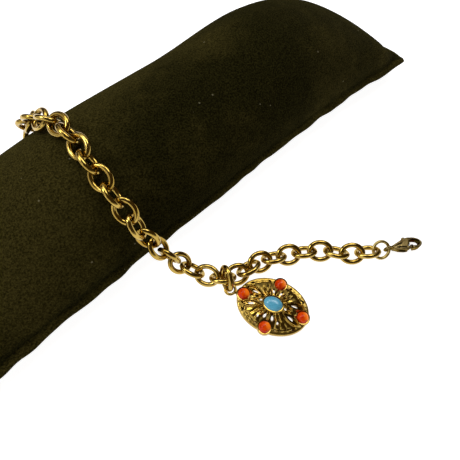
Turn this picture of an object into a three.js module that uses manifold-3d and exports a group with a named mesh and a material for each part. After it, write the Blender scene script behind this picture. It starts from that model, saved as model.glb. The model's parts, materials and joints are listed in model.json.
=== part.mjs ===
// A gold charm bracelet, unfastened and draped over a velvet display cushion.
// Millimetres, +Z up, the cushion's long side along X. From its clasp on the table the chain runs past the
// charm, climbs the cushion's front, crosses the crown and hangs down behind it.

import * as THREE from "three";
import { mergeVertices } from "three/addons/utils/BufferGeometryUtils.js";
import Module from "manifold-3d";

const wasm = await Module();
wasm.setup();

// ---------------------------------------------------------------- driving dimensions

const LINK = { length: 9.6, width: 8.0, wire: 1.8, steps: 16, sides: 6 };
const LINK_COUNT = 31;
const JOINT_GAP = 0.17;
const TAUT_PITCH = LINK.length - 2 * LINK.wire - JOINT_GAP;
// Links pushed together, by their number: how much of the taut pitch each gives up.
const SLACK = {
  2: 0.2, 3: 0.25,
  6: 0.2, 7: 0.45, 8: 0.8, 9: 1.2, 10: 1.1, 11: 0.4, 12: 0.1, 13: 0.4, 14: 0.5, 15: 0.2, 16: 0.1,
  24: 0.2, 25: 0.6, 26: 0.9, 27: 1.2, 28: 0.9, 29: 0.5, 30: 0.3,
};

// The chain's centre line, from the jump ring to the free end behind the cushion. Its joints lie on it.
const ROUTE = [
  [19.5, -84.0, 2.8],
  [12.1, -78.9, 2.8],
  [5.3, -70.2, 2.8],
  [-4.2, -63.5, 2.8],
  [-13.7, -58.2, 3.0],
  [-22.1, -56.6, 3.0],
  [-27.2, -54.1, 2.95],
  [-30.5, -49.3, 2.8],
  [-33.0, -43.9, 3.0],
  [-35.3, -40.2, 6.9],
  [-36.9, -38.0, 11.9],
  [-39.0, -35.6, 16.7],
  [-40.2, -33.2, 21.8],
  [-41.0, -30.6, 26.9],
  [-41.1, -26.8, 31.2],
  [-41.0, -21.6, 34.9],
  [-40.7, -16.4, 37.4],
  [-40.2, -11.0, 39.3],
  [-39.5, -5.3, 40.7],
  [-38.9, 0.4, 41.4],
  [-39.3, 6.1, 41.2],
  [-40.8, 10.2, 40.3],
  [-41.5, 14.3, 38.2],
  [-43.0, 18.7, 35.9],
  [-43.2, 23.1, 32.0],
  [-44.4, 27.6, 27.2],
  [-45.4, 31.2, 21.6],
  [-46.0, 33.4, 15.0],
];
const ROUTE_STEPS = 4000; // how finely it is stepped along to find the joints

// How far each kind of link leans from lying flat, in degrees about the chain, at some links along it.
const LEAN = [
  { link: 1, odd: 35, even: -35 },
  { link: 14, odd: 42, even: -32 },
  { link: 16, odd: 92, even: -2 },
  { link: 19, odd: 145, even: 55 },
  { link: 31, odd: 145, even: 55 },
];

const JUMP_RING = { across: 7.2, wire: 1.1, steps: 20, sides: 6, centre: [21.5, -85.32, 2.45], tilt: 36 };

// The clasp, seen on its broad side. Its points run along it from the middle of its eye, and across it
// towards the lever's nub.
const CLASP = {
  eye: [24.0, -86.93, 2.25], // the middle of its eye
  heading: [0.835, -0.545, -0.06], // the way it points from there
  thickness: 2.6,
  outline: [
    [1.5, -0.7], [3.3, -1.4], [5.7, -1.85], [8.5, -1.75], [10.9, -1.45], [12.5, -0.6], [12.9, 0.5],
    [11.9, 1.8], [10.1, 2.55], [8.0, 2.8], [6.2, 2.6], [4.2, 1.75], [1.5, 0.7],
  ],
  eyeRing: { across: 3.6, wire: 0.84, steps: 14, sides: 6 },
  opening: { middle: [9.9, 0.5], half: [2.1, 1.2], steps: 18 }, // the space inside the hook
  gate: { from: [7.1, -2.6], to: [8.8, 0] }, // the way into it, that the lever closes
  slot: { from: 3.4, to: 8.0, height: 1.3 }, // the space between the cheeks, that the lever swings in
  pin: { middle: [5.9, 0.35], radius: 0.42, length: 2.4, bore: 0.6, steps: 12 },
};

// The lever, seen as the clasp is: its arm closes the gate, and its nub stands out on the other side.
const LEVER = {
  thickness: 1.0,
  outline: [
    [5.1, -0.6], [6.1, -1.65], [7.3, -1.6], [8.4, -1.0], [8.7, -0.35], [9.4, -0.35], [9.5, 0.05], [8.7, 0.18],
    [7.5, -0.35], [6.9, 0.35], [7.0, 1.6], [7.3, 2.9], [7.2, 3.4], [6.5, 3.4], [6.1, 2.6], [5.1, 0.85],
  ],
};

// The charm, lying on its back: its long axis runs from the bail to the foot.
const CHARM = {
  length: 24.8,
  width: 18.6,
  middle: [-22.12, -72.35],
  heading: [0.393, -0.919], // from the bail to the foot
  pitch: 1.2, // degrees that the bail end is lifted
  lean: 7, // degrees that it leans about its long axis
  lift: 0.05, // the air under it
  rim: {
    width: 1.7,
    height: 3.0,
    outside: [[2.23, 0], [0.74, 0.9], [0, 2.4], [0.4, 3.0]], // how far in from the edge, at each height
    inside: [[3.03, 0], [2.34, 0.9]],
  },
  dome: 2.4, // height of the dome over the rim
  domeBend: 0.8, // 0.5 would make it an ellipse, and more makes it more pointed
  wall: 1.6,
  rings: 6, // rings of facets from the rim to the top
  steps: 36,
};

// The charm's loop, and the flat strip that joins it to the rim and runs a little way into both.
const BAIL = { across: 4.4, wire: 0.9, out: 15.2, height: 1.5, steps: 16, sides: 6 };
const STRIP = { width: 1.8, thickness: 0.9, into: 0.6 };

const ROUND_STONE = { across: 3.6, dome: 1.9, girdle: 0.7, out: 10.3, aside: 7.55, floor: 2.2, steps: 18 };
const OVAL_STONE = { length: 6.5, width: 4.9, dome: 1.5, girdle: 0.6, floor: 4.8, steps: 24 };
// A stone's dome in section, as shares of half its width and of its height.
const CABOCHON = [[1, 0], [0.8, 0.6], [0.45, 0.9], [0, 1]];
// A stone's cup: the lip stands over the stone's back, and the post reaches down under it.
const SETTING = { wall: 0.3, gap: 0.12, lip: 0.6, post: 2 };

// The pierced openings: diamonds between the stones and small triangles further out. Each reaches from one
// share of the way out from the middle to another, and this many degrees to each side.
const PETALS = { count: 8, from: 0.4, to: 0.68, half: 9 };
const NICKS = { count: 8, from: 0.72, to: 0.84, half: 4.5 };

// The link between the charm and the chain: where its two ends lie, and the way its flat side faces.
const CHARM_LINK = {
  from: [-28.45, -57.95, 2.14],
  to: [-25.02, -52.36, 6.36],
  facing: [0.898, -0.324, -0.298],
};

const CUSHION = {
  length: 220,
  width: 67,
  waist: 0.09, // share of the width that the long sides pull in at their middle
  seam: 8, // height of the seam over the table
  crown: 30.5, // height of the crown over the seam
  belly: 14, // depth that the lower panel would have, were it not flat on the table
  ends: { reach: 4, fall: 1.4 }, // how far along it stays full, and how steeply it then falls to its ends
  columns: 22,
  rows: 12,
};

const GOLD = { color: 0xd9a53a, roughness: 0.18, metalness: 1 };
const CLASP_GOLD = { color: 0xb48a3c, roughness: 0.35, metalness: 1 };
const VELVET = { color: 0x2a2513, roughness: 1, metalness: 0 };
const TURQUOISE = { color: 0x4fa6cc, roughness: 0.25, metalness: 0 };
const CARNELIAN = { color: 0xd8410a, roughness: 0.1, metalness: 0 };

// ---------------------------------------------------------------- shared helpers

const bracelet = new THREE.Group();
const UP = new THREE.Vector3(0, 0, 1);
const WELD = 1e-4; // corners nearer than this are one corner

function piece(name, geometry, finish) {
  const mesh = new THREE.Mesh(geometry, new THREE.MeshStandardMaterial(finish));
  mesh.name = name;
  return mesh;
}

// An oval ring of round wire in the XY plane, its long axis along X: a torus whose round centre line is
// pushed out to an ellipse.
function ovalRing({ length, width, wire, steps, sides }) {
  const geometry = new THREE.TorusGeometry(1, wire / 2, sides, steps);
  const a = (length - wire) / 2;
  const b = (width - wire) / 2;
  const place = geometry.getAttribute("position");
  for (let i = 0; i < place.count; i++) {
    const turn = Math.atan2(place.getY(i), place.getX(i));
    const out = Math.hypot(place.getX(i), place.getY(i)) - 1;
    const across = new THREE.Vector2(b * Math.cos(turn), a * Math.sin(turn)).normalize();
    place.setX(i, a * Math.cos(turn) + out * across.x);
    place.setY(i, b * Math.sin(turn) + out * across.y);
  }
  return geometry;
}

function roundRing({ across, wire, steps, sides }) {
  return ovalRing({ length: across, width: across, wire, steps, sides });
}

// Turns an object so that its X lies along `ahead` and its Z as near to `up` as that lets it, then leans it
// about its own X.
function aim(object, centre, ahead, up, leanDegrees = 0) {
  const x = ahead.clone().normalize();
  const y = new THREE.Vector3().crossVectors(up, x).normalize();
  const z = new THREE.Vector3().crossVectors(x, y);
  object.quaternion.setFromRotationMatrix(new THREE.Matrix4().makeBasis(x, y, z));
  object.rotateX(THREE.MathUtils.degToRad(leanDegrees));
  object.position.copy(centre);
  return object;
}

function vector(row) {
  return new THREE.Vector3(...row);
}

function solid(geometry) {
  const bare = new THREE.BufferGeometry();
  bare.setAttribute("position", geometry.getAttribute("position"));
  bare.setIndex(geometry.index);
  const merged = mergeVertices(bare, WELD);
  const vertProperties = merged.getAttribute("position").array;
  const triVerts = new Uint32Array(merged.index.array);
  return new wasm.Manifold(new wasm.Mesh({ numProp: 3, vertProperties, triVerts }));
}

function geometryOf(manifold) {
  const mesh = manifold.getMesh();
  const geometry = new THREE.BufferGeometry();
  geometry.setAttribute("position", new THREE.BufferAttribute(mesh.vertProperties, 3));
  geometry.setIndex(new THREE.BufferAttribute(mesh.triVerts, 1));
  return geometry;
}

// A plate with the given outline in the XY plane, its thickness centred on z = 0.
function plate(points, thickness) {
  const shape = new THREE.Shape(points.map(([x, y]) => new THREE.Vector2(x, y)));
  const slab = new THREE.ExtrudeGeometry(shape, { depth: thickness, bevelEnabled: false });
  return slab.translate(0, 0, -thickness / 2);
}

// A block between two corners in the XY plane, its height centred on z = 0.
function block(from, to, height) {
  const box = new THREE.BoxGeometry(to[0] - from[0], to[1] - from[1], height);
  return box.translate((from[0] + to[0]) / 2, (from[1] + to[1]) / 2, 0);
}

// A round rod along Z, centred on `middle`.
function rod(middle, radius, height, steps) {
  const cylinder = new THREE.CylinderGeometry(radius, radius, height, steps).rotateX(Math.PI / 2);
  return cylinder.translate(middle[0], middle[1], 0);
}

function ellipsePoints([x, y], [halfX, halfY], steps) {
  const curve = new THREE.EllipseCurve(x, y, halfX, halfY);
  return curve.getPoints(steps).slice(0, steps).map((point) => [point.x, point.y]);
}

// ---------------------------------------------------------------- cushion

function cushionHalfWidth(x) {
  const u = x / (CUSHION.length / 2);
  return (CUSHION.width / 2) * (1 - CUSHION.waist * (1 - u * u));
}

// How full the cushion is at a place, from 0 on its seam to 1 in its middle.
function cushionFill(x, y) {
  const { reach, fall } = CUSHION.ends;
  const u = Math.abs(x) / (CUSHION.length / 2);
  const v = y / cushionHalfWidth(x);
  return Math.max(0, 1 - u ** reach) ** fall * Math.sqrt(Math.max(0, 1 - v * v));
}

// Two panels that share the seam: a full upper one, and a lower one pressed flat by the table.
function cushionGeometry() {
  const { columns, rows, length, seam, crown, belly } = CUSHION;
  const points = [];
  const faces = [];
  const top = [];
  const bottom = [];
  for (let i = 0; i <= columns; i++) {
    for (let j = 0; j <= rows; j++) {
      const onSeam = i === 0 || j === 0 || i === columns || j === rows;
      const x = (length / 2) * Math.sin((Math.PI / 2) * ((2 * i) / columns - 1));
      const y = cushionHalfWidth(x) * Math.sin((Math.PI / 2) * ((2 * j) / rows - 1));
      const fill = onSeam ? 0 : cushionFill(x, y);
      top.push(points.length / 3);
      points.push(x, y, seam + crown * fill);
      bottom.push(onSeam ? top.at(-1) : points.length / 3);
      if (!onSeam) points.push(x, y, Math.max(0, seam - belly * fill));
    }
  }
  for (let i = 0; i < columns; i++) {
    for (let j = 0; j < rows; j++) {
      const near = i * (rows + 1) + j;
      const far = near + rows + 1;
      const [a, b, c, d] = [near, far, far + 1, near + 1];
      faces.push(top[a], top[b], top[c], top[a], top[c], top[d]);
      faces.push(bottom[a], bottom[c], bottom[b], bottom[a], bottom[d], bottom[c]);
    }
  }
  const geometry = new THREE.BufferGeometry();
  geometry.setAttribute("position", new THREE.Float32BufferAttribute(points, 3));
  geometry.setIndex(faces);
  return geometry;
}

bracelet.add(piece("cushion", cushionGeometry(), VELVET));

// ---------------------------------------------------------------- chain

// The joints between links: points on the route, each one pitch from the last in a straight line.
function chainJoints() {
  const route = new THREE.CatmullRomCurve3(ROUTE.map(vector), false, "centripetal");
  const joints = [];
  for (const point of route.getSpacedPoints(ROUTE_STEPS)) {
    const pitch = TAUT_PITCH - (SLACK[joints.length] ?? 0);
    if (joints.length === 0 || point.distanceTo(joints.at(-1)) >= pitch) joints.push(point);
  }
  return joints;
}

function leanOf(number) {
  const kind = number % 2 ? "odd" : "even";
  const next = Math.max(1, LEAN.findIndex((row) => row.link >= number));
  const [from, to] = [LEAN[next - 1], LEAN[next]];
  const share = (number - from.link) / (to.link - from.link);
  return THREE.MathUtils.lerp(from[kind], to[kind], share);
}

const joints = chainJoints();
for (let number = 1; number <= LINK_COUNT; number++) {
  const [start, end] = [joints[number - 1], joints[number]];
  const link = piece("link_" + String(number).padStart(2, "0"), ovalRing(LINK), GOLD);
  const centre = start.clone().lerp(end, 0.5);
  bracelet.add(aim(link, centre, end.clone().sub(start), UP, leanOf(number)));
}

// ---------------------------------------------------------------- jump ring

const jumpRing = piece("jump_ring", roundRing(JUMP_RING), CLASP_GOLD);
bracelet.add(aim(jumpRing, vector(JUMP_RING.centre), vector(CLASP.heading), UP, JUMP_RING.tilt));

// ---------------------------------------------------------------- clasp and its lever

function claspBody() {
  const { outline, thickness, eyeRing, opening, gate, slot, pin } = CLASP;
  const through = 2 * thickness;
  const eye = roundRing(eyeRing).rotateX(Math.PI / 2);
  return solid(plate(outline, thickness))
    .subtract(solid(plate(ellipsePoints(opening.middle, opening.half, opening.steps), through)))
    .subtract(solid(block(gate.from, gate.to, through)))
    .subtract(solid(block([slot.from, -through], [slot.to, through], slot.height)))
    .add(solid(rod(pin.middle, pin.radius, pin.length, pin.steps)))
    .add(solid(eye));
}

function leverBody() {
  const bore = solid(rod(CLASP.pin.middle, CLASP.pin.bore, CLASP.thickness, CLASP.pin.steps));
  return solid(plate(LEVER.outline, LEVER.thickness)).subtract(bore);
}

const clasp = aim(new THREE.Group(), vector(CLASP.eye), vector(CLASP.heading), UP);
clasp.add(piece("clasp", geometryOf(claspBody()), CLASP_GOLD));
clasp.add(piece("clasp_lever", geometryOf(leverBody()), CLASP_GOLD));
bracelet.add(clasp);

// ---------------------------------------------------------------- charm

// Height of the dome's outer face over the back, at a share of the way from the middle to the outline.
function domeHeight(share) {
  const inner = 1 - (2 * CHARM.rim.width) / CHARM.length;
  const reach = Math.min(1, share / inner);
  return CHARM.rim.height + CHARM.dome * (1 - reach * reach) ** CHARM.domeBend;
}

function domeShell() {
  const { length, width, rim, rings, wall, steps } = CHARM;
  const half = length / 2;
  const inner = half - rim.width;
  const outside = rim.outside.map(([inset, height]) => [half - inset, height]);
  const inside = rim.inside.map(([inset, height]) => [half - inset, height]);
  for (let ring = 0; ring <= rings; ring++) {
    const share = Math.cos((ring / rings) * (Math.PI / 2));
    outside.push([inner * share, domeHeight((inner * share) / half)]);
    inside.push([(half - wall) * share, domeHeight((inner * share) / half) - wall]);
  }
  const profile = [...inside.reverse(), ...outside].map(([r, z]) => new THREE.Vector2(Math.max(0, r), z));
  const shell = new THREE.LatheGeometry(profile, steps).rotateX(Math.PI / 2);
  return shell.scale(1, width / length, 1);
}

// A point on the charm, by its bearing in degrees from the long axis and its reach from the middle.
function onCharm(bearing, share) {
  const turn = THREE.MathUtils.degToRad(bearing);
  return [(CHARM.length / 2) * share * Math.cos(turn), (CHARM.width / 2) * share * Math.sin(turn)];
}

function piercings() {
  const outlines = [];
  for (let k = 0; k < PETALS.count; k++) {
    const bearing = (360 / PETALS.count) * (k + 0.5);
    const widest = (PETALS.from + PETALS.to) / 2;
    const right = onCharm(bearing - PETALS.half, widest);
    const left = onCharm(bearing + PETALS.half, widest);
    outlines.push([onCharm(bearing, PETALS.from), right, onCharm(bearing, PETALS.to), left]);
  }
  for (let k = 0; k < NICKS.count; k++) {
    const bearing = (360 / NICKS.count) * (k + 0.5);
    const right = onCharm(bearing - NICKS.half, NICKS.to);
    const left = onCharm(bearing + NICKS.half, NICKS.to);
    outlines.push([onCharm(bearing, NICKS.from), right, left]);
  }
  return outlines.map((outline) => solid(plate(outline, CHARM.length)));
}

const ROUND_PLACES = {
  orange_stone_1: [-ROUND_STONE.out, 0],
  orange_stone_2: [ROUND_STONE.out, 0],
  orange_stone_3: [0, -ROUND_STONE.aside],
  orange_stone_4: [0, ROUND_STONE.aside],
};

// A cabochon: a straight girdle under a dome, its flat back on z = 0, long axis along X.
function cabochon({ across, length = across, width = across, dome, girdle, steps }) {
  const section = CABOCHON.map(([out, rise]) => new THREE.Vector2(out, girdle + dome * rise));
  const profile = [new THREE.Vector2(0, 0), new THREE.Vector2(1, 0), ...section];
  const stone = new THREE.LatheGeometry(profile, steps).rotateX(Math.PI / 2);
  return stone.scale(length / 2, width / 2, 1);
}

// An upright round or oval post between two heights, `margin` wider all round than the stone.
function post({ across, length = across, width = across, steps }, margin, bottom, top) {
  const cylinder = new THREE.CylinderGeometry(1, 1, top - bottom, steps).rotateX(Math.PI / 2);
  return cylinder.scale(length / 2 + margin, width / 2 + margin, 1).translate(0, 0, (bottom + top) / 2);
}

// The cup that holds a stone is a post. The stone's own pocket is cut once all of the charm is joined.
function cup(stone) {
  return post(stone, SETTING.gap + SETTING.wall, stone.floor - SETTING.post, stone.floor + SETTING.lip);
}

function pocket(stone) {
  return post(stone, SETTING.gap, stone.floor - SETTING.gap, stone.floor + CHARM.length);
}

// The loop and its strip, out beyond the end of the charm.
function bail() {
  const loop = roundRing(BAIL).translate(-BAIL.out, 0, BAIL.height);
  const from = -BAIL.out + BAIL.across / 2 - STRIP.into;
  const to = -CHARM.length / 2 + STRIP.into;
  const strip = block([from, -STRIP.width / 2], [to, STRIP.width / 2], STRIP.thickness);
  return solid(loop).add(solid(strip.translate(0, 0, BAIL.height)));
}

function charmBody() {
  const stones = Object.values(ROUND_PLACES).map((place) => [ROUND_STONE, place]);
  stones.push([OVAL_STONE, [0, 0]]);
  let body = solid(domeShell());
  for (const opening of piercings()) body = body.subtract(opening);
  for (const [stone, [x, y]] of stones) body = body.add(solid(cup(stone).translate(x, y, 0)));
  body = body.add(bail());
  for (const [stone, [x, y]] of stones) body = body.subtract(solid(pocket(stone).translate(x, y, 0)));
  return body;
}

const charm = new THREE.Group();
charm.add(piece("charm", geometryOf(charmBody()), GOLD));
const turquoise = piece("turquoise", cabochon(OVAL_STONE), TURQUOISE);
turquoise.position.z = OVAL_STONE.floor;
charm.add(turquoise);
for (const [name, [x, y]] of Object.entries(ROUND_PLACES)) {
  const stone = piece(name, cabochon(ROUND_STONE), CARNELIAN);
  stone.position.set(x, y, ROUND_STONE.floor);
  charm.add(stone);
}
const pitch = THREE.MathUtils.degToRad(CHARM.pitch);
const heading = new THREE.Vector3(...CHARM.heading, -Math.tan(pitch));
aim(charm, new THREE.Vector3(...CHARM.middle, 0), heading, UP, CHARM.lean);
charm.position.z = CHARM.lift - new THREE.Box3().setFromObject(charm, true).min.z;
bracelet.add(charm);

// The link that hangs the charm on the chain: it stands on edge, through the bail and round a chain link.
const lower = vector(CHARM_LINK.from);
const upper = vector(CHARM_LINK.to);
const between = lower.clone().lerp(upper, 0.5);
const charmLink = piece("charm_link", ovalRing(LINK), GOLD);
bracelet.add(aim(charmLink, between, upper.clone().sub(lower), vector(CHARM_LINK.facing)));

// ---------------------------------------------------------------- the whole, its origin under its middle

const extent = new THREE.Box3().setFromObject(bracelet, true);
const middle = extent.getCenter(new THREE.Vector3());
bracelet.position.set(-middle.x, -middle.y, -extent.min.z);

export default bracelet;
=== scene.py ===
"""The looks of a gold charm bracelet that lies draped over a velvet display cushion.

Every piece takes its place from the plain model. The rings of the chain and the beads round the oval stone
are each one shape put down many times, the cushion is blown up as cloth, and the charm's pierced shell is
worked out place by place.
"""

import json
import math

import bmesh
import bpy
import numpy as np
from mathutils import Matrix, Vector
from mathutils.kdtree import KDTree


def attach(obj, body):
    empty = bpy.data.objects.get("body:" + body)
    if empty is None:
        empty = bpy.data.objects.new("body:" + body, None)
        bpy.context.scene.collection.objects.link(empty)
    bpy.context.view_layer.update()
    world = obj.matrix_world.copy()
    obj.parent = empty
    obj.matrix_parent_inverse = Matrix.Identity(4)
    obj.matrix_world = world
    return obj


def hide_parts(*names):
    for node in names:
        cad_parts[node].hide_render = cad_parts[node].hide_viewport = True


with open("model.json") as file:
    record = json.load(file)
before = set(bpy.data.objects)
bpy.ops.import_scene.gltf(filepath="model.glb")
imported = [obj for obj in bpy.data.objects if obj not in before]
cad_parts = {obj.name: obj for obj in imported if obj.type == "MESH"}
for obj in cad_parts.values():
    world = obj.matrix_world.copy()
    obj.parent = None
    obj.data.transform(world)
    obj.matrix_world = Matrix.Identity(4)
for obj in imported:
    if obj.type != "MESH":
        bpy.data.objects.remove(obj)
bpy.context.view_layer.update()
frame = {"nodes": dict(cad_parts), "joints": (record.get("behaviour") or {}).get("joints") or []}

# ------------------------ sizes, in millimetres unless said otherwise

MM = 0.001  # metres in a millimetre
HELD = "bracelet_and_cushion"  # the body that all but the lever belongs to
LEVER = "lever"

LINK = {"length": 9.6, "width": 8.0, "wire": 1.8}
JUMP_RING = {"length": 7.2, "width": 7.2, "wire": 1.1}
LINK_NODES = [f"link_{number:02d}" for number in range(1, 32)]

CAMERA_AT = (-61.0, -61.9, 124.7)
CAMERA_TOWARDS = (-11.0, -10.1, 0.0)
CAMERA_LENS = 29.74
CAMERA_SENSOR = 36.0


# ------------------------ nodes


class Signal:
    """One output of a node. Sums with it add the Math nodes that work them out."""

    def __init__(self, maker, socket):
        self.maker = maker
        self.socket = socket

    def math(self, operation, first, second):
        return self.maker.node("ShaderNodeMath", {"operation": operation}, {0: first, 1: second})

    def __add__(self, other):
        return self.math("ADD", self, other)

    def __sub__(self, other):
        return self.math("SUBTRACT", self, other)

    def __mul__(self, other):
        return self.math("MULTIPLY", self, other)

    def __lt__(self, other):
        return self.math("LESS_THAN", self, other)


def spaced(inputs):
    """The same inputs by their sockets' names, which have spaces where these have underscores."""
    return {key.replace("_", " "): value for key, value in inputs.items()}


class Maker:
    """Adds nodes to one tree."""

    def __init__(self, tree):
        self.tree = tree

    def node(self, kind, settings=None, inputs=None, output=0):
        """Adds a node with these settings, feeds its sockets, and gives one of its outputs."""
        made = self.tree.nodes.new(kind)
        for name, value in (settings or {}).items():
            setattr(made, name, value)
        self.fill(made.inputs, inputs or {})
        return Signal(self, made.outputs[output]) if made.outputs else made

    def fill(self, sockets, inputs):
        """Gives each socket its value, or the signal that leads to it."""
        for key, value in inputs.items():
            if isinstance(value, Signal):
                self.tree.links.new(value.socket, sockets[key])
            else:
                sockets[key].default_value = value


class Finish(Maker):
    """A material in the making: a surface shader, and the nodes that lead to it."""

    def __init__(self, name, **constants):
        self.material = bpy.data.materials.new(name)
        self.material.use_nodes = True
        super().__init__(self.material.node_tree)
        self.surface = self.tree.nodes["Principled BSDF"]
        self.feed(**constants)
        self.place = self.node("ShaderNodeTexCoord", output="Object")

    def feed(self, **inputs):
        self.fill(self.surface.inputs, spaced(inputs))

    def attribute(self, name):
        return self.node("ShaderNodeAttribute", {"attribute_name": name}, output="Fac")

    def grain(self, size, detail=2.0, roughness=0.5):
        """Noise from 0 to 1 whose patches are about `size` millimetres across."""
        settings = {"Scale": 1 / (size * MM), "Detail": detail, "Roughness": roughness, "Vector": self.place}
        return self.node("ShaderNodeTexNoise", inputs=settings)

    def between(self, share, low, high):
        return self.node("ShaderNodeMapRange", inputs={"Value": share, "To Min": low, "To Max": high})

    def window(self, signal, start, end):
        """0 where the signal is under `start`, 1 where it is over `end`, and a smooth ramp between."""
        settings = {"interpolation_type": "SMOOTHSTEP"}
        inputs = {"Value": signal, "From Min": start, "From Max": end}
        return self.node("ShaderNodeMapRange", settings, inputs)

    def patches(self, size, start=0.3, end=0.7, detail=2.0):
        """Soft-edged patches, 0 between them and 1 inside them."""
        return self.window(self.grain(size, detail), start, end)

    def mixed(self, share, first, second):
        """The first colour where the share is 0, the second where it is 1."""
        made = self.tree.nodes.new("ShaderNodeMix")
        made.data_type = "RGBA"
        sockets = {s.name: s for s in made.inputs if s.enabled}
        self.fill(sockets, {"Factor": share, "A": colour(first), "B": colour(second)})
        return Signal(self, [s for s in made.outputs if s.enabled][0])

    def bumped(self, height, depth):
        """A normal for a surface that stands `depth` millimetres higher where the signal is 1 than at 0."""
        return self.node("ShaderNodeBump", inputs={"Height": height, "Distance": depth * MM})


def colour(value):
    return value if isinstance(value, Signal) else (*value, 1.0)


# ------------------------ finishes

BRIGHT_GOLD = (0.47, 0.325, 0.078)
DEEP_GOLD = (0.37, 0.235, 0.04)
GREEN_GOLD = (0.26, 0.19, 0.07)
PALE_GOLD = (0.55, 0.43, 0.16)
OLD_GOLD = (0.10, 0.066, 0.024)
# Tarnish with painted shade for the charm's hollows, and painted shade for the clasp's opening, slot and
# parting lines.
TARNISH_AND_SHADE = (0.17, 0.085, 0.015)
DARK_OLIVE = (0.035, 0.027, 0.009)
EDGE_TINT = (0.45, 0.36, 0.18, 1.0)  # how a dull gold looks along its edges
TURQUOISE = ((0.075, 0.345, 0.52), (0.11, 0.42, 0.60))
ORANGE = ((0.50, 0.026, 0.0005), (0.78, 0.070, 0.0012))
# The clear stones' painted light: their colour on their lit side, and their painted glow.
LIT_ORANGE = (1.0, 0.30, 0.020)
ORANGE_GLOW = ((0.10, 0.001, 0.0), (1.0, 0.14, 0.003))  # on the deep side and on the lit side
# The cloth's colour between its hairs and on their tips, plain, and paler where it is brushed and where light
# is painted on it.
VELVET = ((0.0034, 0.0030, 0.0006), (0.0228, 0.0204, 0.0052))
BRUSHED_AND_LIT_VELVET = ((0.0112, 0.0092, 0.0018), (0.0560, 0.0455, 0.0112))
LINT = (0.30, 0.27, 0.17)
SHEEN = (0.55, 0.48, 0.25, 1.0)
TABLE = ((0.48, 0.48, 0.48), (0.50, 0.50, 0.50))
WHITE = (1.0, 1.0, 1.0, 1.0)


def polished_gold():
    """The chain's gold: mirror bright, with fine hairline wear and a little colour drift."""
    finish = Finish("polished_gold", Metallic=1.0)
    wear = finish.grain(0.35, detail=4.0, roughness=0.65)
    finish.feed(
        Base_Color=finish.mixed(finish.patches(5.0), BRIGHT_GOLD, DEEP_GOLD),
        Roughness=finish.between(wear, 0.12, 0.19),
        Normal=finish.bumped(wear, 0.0015),
    )
    return finish.material


def charm_gold():
    """The charm's gold: polished, satin on its fans, and darker in its hollows with tarnish and painted
    shade.
    """
    finish = Finish("charm_gold", Metallic=1.0)
    hollow = finish.attribute("hollow")
    satin = finish.attribute("satin")
    wear = finish.grain(0.4, detail=4.0, roughness=0.6)
    stipple = finish.grain(0.16, detail=1.0)
    lines = finish.attribute("flutes")
    clean = finish.mixed(finish.patches(3.0), BRIGHT_GOLD, DEEP_GOLD)
    finish.feed(
        Base_Color=finish.mixed(hollow * 0.85, clean, TARNISH_AND_SHADE),
        Roughness=finish.between(wear, 0.10, 0.17) + satin * 0.24 + hollow * 0.08,
        Normal=finish.bumped(lines * 0.7 + stipple * satin * 0.4 + wear * 0.04, 0.04),
    )
    return finish.material


def dull_gold(name, clean, filmed, smoothest, roughest):
    """The clasp's and the thin ring's gold: duller, greener, and darker where shade is painted in its
    hollows.
    """
    finish = Finish(name, Metallic=1.0, Specular_Tint=EDGE_TINT)
    film = finish.patches(1.6, start=0.35, detail=3.0)
    wear = finish.grain(0.3, detail=4.0, roughness=0.65)
    hollow = finish.attribute("hollow")
    finish.feed(
        Base_Color=finish.mixed(hollow, finish.mixed(film, clean, filmed), DARK_OLIVE),
        Roughness=finish.between(wear, smoothest, roughest) + finish.attribute("satin") * 0.16,
        Normal=finish.bumped(wear, 0.004),
    )
    return finish.material


def turquoise_stone():
    finish = Finish("turquoise_stone", Roughness=0.3, Coat_Weight=0.45, Coat_Roughness=0.05)
    cloud = finish.patches(2.2, end=0.75, detail=3.0)
    finish.feed(Base_Color=finish.mixed(cloud, *TURQUOISE))
    return finish.material


def orange_glass():
    """A clear orange-red cabochon with a painted glow: deeper in colour on one side, and painted lighter and
    glowing on the other.
    """
    finish = Finish("orange_cabochon", Roughness=0.04, Emission_Strength=0.3, Specular_IOR_Level=0.25)
    finish.feed(Transmission_Weight=0.08, IOR=1.38)
    cloud = finish.patches(0.9, start=0.35)
    glow = finish.attribute("glow")
    finish.feed(
        Base_Color=finish.mixed(glow, finish.mixed(cloud, *ORANGE), LIT_ORANGE),
        Emission_Color=finish.mixed(glow, *ORANGE_GLOW),
    )
    return finish.material


def dark_velvet():
    """Short-napped olive-brown velvet, with paler brushed patches, painted light and shade, and a few specks
    of lint.
    """
    finish = Finish("dark_velvet", Roughness=0.95, Specular_IOR_Level=0.0)
    finish.feed(Sheen_Weight=0.07, Sheen_Roughness=0.35, Sheen_Tint=SHEEN)
    nap = finish.grain(0.55, detail=3.0, roughness=0.75)
    tips = finish.window(nap, 0.34, 0.68)
    streaks = finish.grain(30.0, detail=3.0) + (finish.grain(5.0) - 0.5) * 0.3
    # Random brushed streaks, with the painted light and shade of the cloth's edge and ends added to them.
    brushed_and_lit = finish.window(streaks + finish.attribute("brushed_and_lit"), 0.4, 0.85)
    cloth = finish.mixed(brushed_and_lit, finish.mixed(tips, *VELVET), finish.mixed(tips, *BRUSHED_AND_LIT_VELVET))
    speck = finish.node("ShaderNodeTexVoronoi", inputs={"Scale": 1 / (7.0 * MM), "Vector": finish.place})
    finish.feed(
        Base_Color=finish.mixed((speck < 0.045) * 0.4, cloth, LINT),
        Normal=finish.bumped(nap, 0.35),
    )
    return finish.material


def pale_floor():
    """A white table that glows a little, as a light table does, so that shadows on it stay faint."""
    finish = Finish("pale_floor", Roughness=0.7, Emission_Strength=0.95, Emission_Color=WHITE)
    finish.feed(Base_Color=finish.mixed(finish.patches(60.0), *TABLE))
    return finish.material


# ------------------------ meshes and places


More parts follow.
